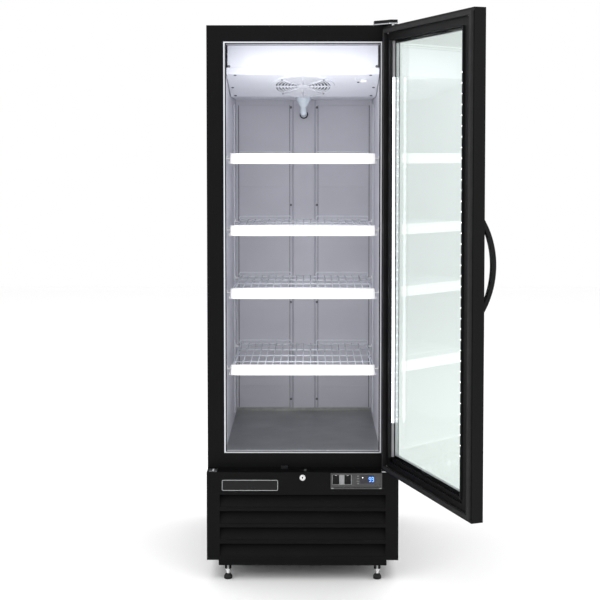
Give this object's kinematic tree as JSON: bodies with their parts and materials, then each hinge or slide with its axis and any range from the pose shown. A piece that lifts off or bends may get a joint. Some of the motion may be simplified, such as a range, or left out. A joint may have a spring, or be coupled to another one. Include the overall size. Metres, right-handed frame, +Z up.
{
  "type": "reach-in refrigerator",
  "caption": "upright black reach-in refrigerator with a swinging glass door, lit wire shelves, top evaporator and a louvred machine compartment below",
  "frame": {"origin": "on the floor, at the centre of the four levelling feet", "axes": "+Z up, the door opening faces -Y, the door is hinged at +X"},
  "size_m": [0.949, 1.4339, 2.018],
  "materials": {
    "black_steel": "fine satin powder coat",
    "black_frame": "satin powder-coated aluminium",
    "dark_sheet": "matt painted steel in shade",
    "galvanised": "bare galvanised sheet",
    "white_liner": "smooth pale coated sheet",
    "floor_sheet": "plain metal floor pan",
    "pale_trim": "glossy extruded trim",
    "foam": "rigid blown foam",
    "standard_steel": "pale coated strip",
    "white_plastic": "moulded white plastic",
    "wire_white": "plastic-coated wire",
    "evap_white": "white painted sheet",
    "grille_white": "white moulded grille",
    "motor_grey": "motor housing",
    "fan_black": "moulded blades",
    "fan_aluminium": "pressed blades",
    "coil_metal": "finned coil",
    "condenser_black": "black coated coil",
    "hose": "translucent hose",
    "bezel_grey": "grey satin moulding",
    "controller_dark": "dark window in a grey case",
    "rocker_black": "moulded rocker",
    "lock_nickel": "bright nickel",
    "switch_dark": "moulded switch",
    "compressor_black": "gloss black shell",
    "copper": "copper tube",
    "pan_grey": "moulded pan",
    "gland_black": "rubber gland",
    "zinc_steel": "zinc plated steel",
    "cover_black": "moulded cap",
    "foot_black": "black pad on a bright stem",
    "glass": "double glazing",
    "spacer": "black warm-edge spacer bar",
    "gasket": "magnetic door gasket",
    "led_bar": "black light bar housing",
    "handle_black": "satin moulding",
    "bush_steel": "hinge bearing"
  },
  "bodies": {
    "cabinet": {"left_side_panel": "black_steel", "right_side_panel": "black_steel", "face_trim": "black_steel", "top_panel": "dark_sheet", "outer_back": "galvanised", "foam_insulation": "foam", "inner_liner": "white_liner", "floor_deck": "floor_sheet", "opening_trim": "pale_trim", "duct_channel": "white_liner", "shelf_standards": "standard_steel", "shelf_clips": "white_plastic", "evap_cover": "evap_white", "evap_fan_grille": "grille_white", "evap_fan_motor": "motor_grey", "evap_coil": "coil_metal", "drain_hose": "hose", "base_chassis": "dark_sheet", "lower_panel": "black_steel", "louver_blades": "dark_sheet", "control_bezel": "bezel_grey", "controller": "controller_dark", "lock_barrel": "lock_nickel", "door_switch": "switch_dark", "compressor": "compressor_black", "condenser_coil": "condenser_black", "condenser_fan_motor": "motor_grey", "refrigerant_lines": "copper", "evaporation_pan": "pan_grey", "rear_grille": "dark_sheet", "cord_gland": "gland_black", "hinge_top_bracket": "zinc_steel", "hinge_cover": "cover_black", "hinge_bottom_bracket": "zinc_steel"},
    "lock_core": {"lock_core": "lock_nickel"},
    "lock_bolt": {"lock_bolt": "zinc_steel"},
    "light_rocker": {"light_rocker": "rocker_black"},
    "power_rocker": {"power_rocker": "rocker_black"},
    "switch_plunger": {"switch_plunger": "switch_dark"},
    "evap_fan": {"evap_fan_blade": "fan_black"},
    "condenser_fan": {"condenser_fan_blade": "fan_aluminium"},
    "door": {"door_frame": "black_frame", "door_glass": "glass", "glass_spacer": "spacer", "door_gasket": "gasket", "led_bars": "led_bar", "door_handle": "handle_black", "hinge_bushes": "bush_steel"},
    "shelf_1": {"shelf_1": "wire_white", "price_rail_1": "white_plastic"},
    "shelf_2": {"shelf_2": "wire_white", "price_rail_2": "white_plastic"},
    "shelf_3": {"shelf_3": "wire_white", "price_rail_3": "white_plastic"},
    "shelf_4": {"shelf_4": "wire_white", "price_rail_4": "white_plastic"},
    "foot_front_left": {"foot_front_left": "foot_black"},
    "foot_front_right": {"foot_front_right": "foot_black"},
    "foot_rear_left": {"foot_rear_left": "foot_black"},
    "foot_rear_right": {"foot_rear_right": "foot_black"}
  },
  "joints": [
    {"name": "door_hinge", "type": "hinge", "parent": "cabinet", "child": "door", "pos_m": [0.321, -0.39, 1.2], "axis": [0, 0, 1], "range_deg": [-110.6, 9.4]},
    {"name": "lock_turn", "type": "hinge", "parent": "cabinet", "child": "lock_core", "pos_m": [0, -0.39, 0.378], "axis": [0, -1, 0], "range_deg": [0, 90]},
    {"name": "lock_bolt_slide", "type": "slide", "parent": "cabinet", "child": "lock_bolt", "axis": [0, 0, 1], "range_m": [0, 0.008]},
    {"name": "light_rocker_tilt", "type": "hinge", "parent": "cabinet", "child": "light_rocker", "pos_m": [0.12, -0.396, 0.3715], "axis": [1, 0, 0], "range_deg": [0, 12]},
    {"name": "power_rocker_tilt", "type": "hinge", "parent": "cabinet", "child": "power_rocker", "pos_m": [0.1625, -0.396, 0.3715], "axis": [1, 0, 0], "range_deg": [0, 12]},
    {"name": "switch_plunger_push", "type": "slide", "parent": "cabinet", "child": "switch_plunger", "axis": [0, 1, 0], "range_m": [0, 0.003], "stiffness_N_per_m": 300, "springref_m": -0.001},
    {"name": "evap_fan_spin", "type": "hinge", "parent": "cabinet", "child": "evap_fan", "pos_m": [0, -0.12, 1.799], "axis": [0, 0.2873, 0.9578], "continuous": true},
    {"name": "condenser_fan_spin", "type": "hinge", "parent": "cabinet", "child": "condenser_fan", "pos_m": [-0.115, -0.238, 0.205], "axis": [0, 1, 0], "continuous": true},
    {"name": "shelf_1_slide", "type": "slide", "parent": "cabinet", "child": "shelf_1", "axis": [0, -1, 0], "range_m": [0, 0.62]},
    {"name": "shelf_2_slide", "type": "slide", "parent": "cabinet", "child": "shelf_2", "axis": [0, -1, 0], "range_m": [0, 0.62]},
    {"name": "shelf_3_slide", "type": "slide", "parent": "cabinet", "child": "shelf_3", "axis": [0, -1, 0], "range_m": [0, 0.62]},
    {"name": "shelf_4_slide", "type": "slide", "parent": "cabinet", "child": "shelf_4", "axis": [0, -1, 0], "range_m": [0, 0.62]},
    {"name": "foot_front_left_screw", "type": "slide", "parent": "cabinet", "child": "foot_front_left", "axis": [0, 0, -1], "range_m": [0, 0.02]},
    {"name": "foot_front_right_screw", "type": "slide", "parent": "cabinet", "child": "foot_front_right", "axis": [0, 0, -1], "range_m": [0, 0.02]},
    {"name": "foot_rear_left_screw", "type": "slide", "parent": "cabinet", "child": "foot_rear_left", "axis": [0, 0, -1], "range_m": [0, 0.02]},
    {"name": "foot_rear_right_screw", "type": "slide", "parent": "cabinet", "child": "foot_rear_right", "axis": [0, 0, -1], "range_m": [0, 0.02]}
  ],
  "couplings": [
    {"joint": "lock_bolt_slide", "follows": "lock_turn", "m_per_rad": 0.005093}
  ]
}
